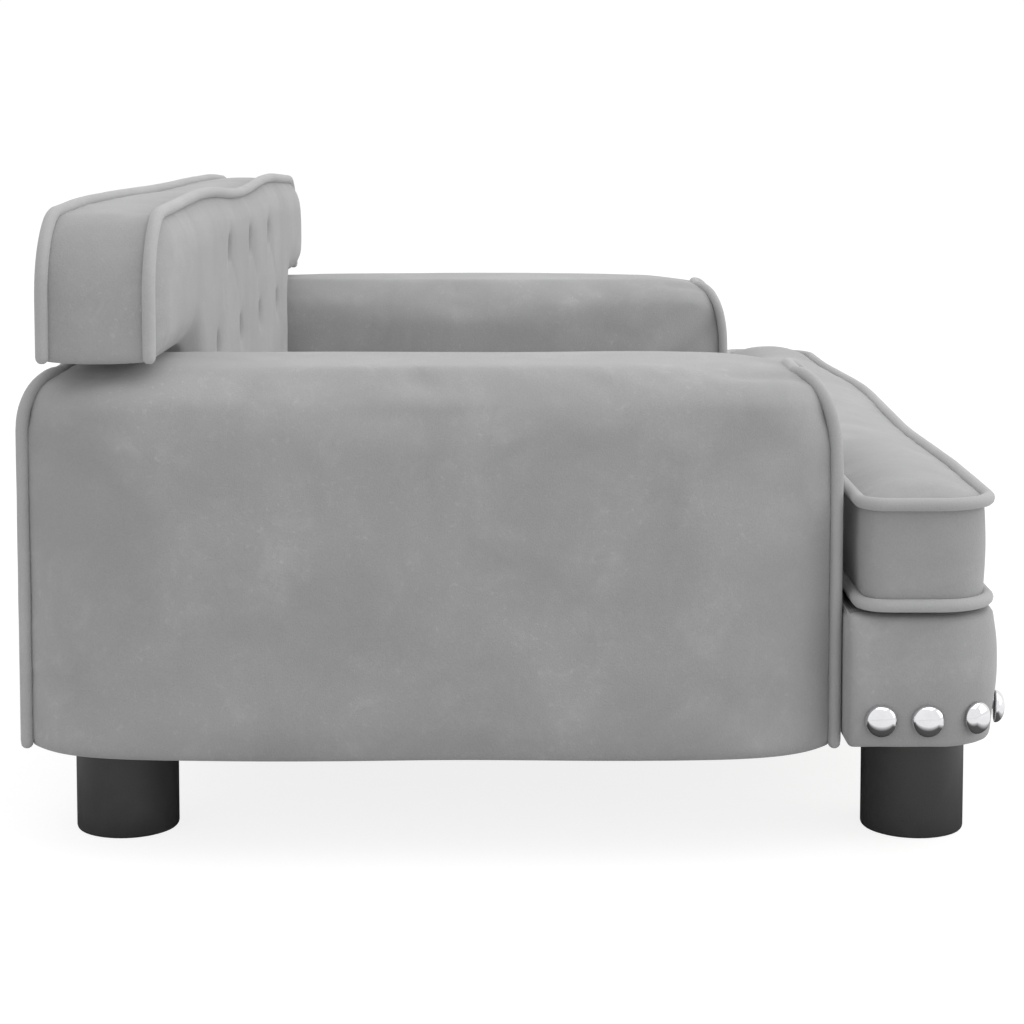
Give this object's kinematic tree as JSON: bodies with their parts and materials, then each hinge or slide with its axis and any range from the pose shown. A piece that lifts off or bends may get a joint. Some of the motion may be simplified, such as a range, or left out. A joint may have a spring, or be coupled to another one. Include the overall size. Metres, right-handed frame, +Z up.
{
  "type": "dog bed",
  "caption": "Small upholstered sofa for a dog, with padded arms, a tufted back and a loose seat cushion on plastic feet.",
  "frame": {"origin": "on the floor under the middle of the whole bed", "axes": "+X along the width, to the right hand side seen from the front, -Y out of the open front, +Z up"},
  "size_m": [0.7, 0.4572, 0.3],
  "materials": {
    "velvet": "light grey velvet, short pile with a soft sheen",
    "velvet_piping": "light grey velvet over a piping cord",
    "foam": "upholstery foam",
    "pine": "planed pine, unfinished",
    "plywood": "poplar plywood, unfinished",
    "foot_plastic": "black moulded plastic, satin",
    "nail_chrome": "polished chrome plate",
    "zinc_steel": "zinc plated steel",
    "lining_cloth": "black non-woven lining",
    "zip_nylon": "grey nylon zip"
  },
  "bodies": {
    "frame": {"apron_cover": "velvet", "apron_padding": "foam", "arm_left_bottom_rail": "pine", "arm_left_cover": "velvet", "arm_left_foam": "foam", "arm_left_front_post": "pine", "arm_left_inner_panel": "plywood", "arm_left_outer_panel": "plywood", "arm_left_piping_front": "velvet_piping", "arm_left_piping_rear": "velvet_piping", "arm_left_rear_post": "pine", "arm_left_top_rail": "pine", "arm_right_bottom_rail": "pine", "arm_right_cover": "velvet", "arm_right_foam": "foam", "arm_right_front_post": "pine", "arm_right_inner_panel": "plywood", "arm_right_outer_panel": "plywood", "arm_right_piping_front": "velvet_piping", "arm_right_piping_rear": "velvet_piping", "arm_right_rear_post": "pine", "arm_right_top_rail": "pine", "back_bottom_rail": "pine", "back_cover": "velvet", "back_foam": "foam", "back_panel": "plywood", "back_piping_front": "velvet_piping", "back_piping_rear": "velvet_piping", "back_post_left": "pine", "back_post_right": "pine", "back_top_rail": "pine", "box_end_left": "pine", "box_end_right": "pine", "centre_brace": "pine", "deck_cloth": "lining_cloth", "dust_cover": "lining_cloth", "foot_block_left": "pine", "foot_block_right": "pine", "foot_front_left": "foot_plastic", "foot_front_right": "foot_plastic", "foot_rear_left": "foot_plastic", "foot_rear_right": "foot_plastic", "foot_studs": "zinc_steel", "frame_bolts": "zinc_steel", "front_box_rear_rail": "pine", "front_rail": "pine", "insert_nuts": "zinc_steel", "nail_heads": "nail_chrome", "rear_rail": "pine", "seat_deck": "plywood", "side_rail_left": "pine", "side_rail_right": "pine", "tuft_buttons": "velvet_piping"},
    "cushion": {"cushion_cover": "velvet", "cushion_foam": "foam", "cushion_piping_bottom": "velvet_piping", "cushion_piping_top": "velvet_piping", "cushion_zipper": "zip_nylon"}
  },
  "joints": [
    {"name": "cushion_lift", "type": "slide", "parent": "frame", "child": "cushion", "axis": [0, 0, 1], "range_m": [0, 0.15]}
  ]
}
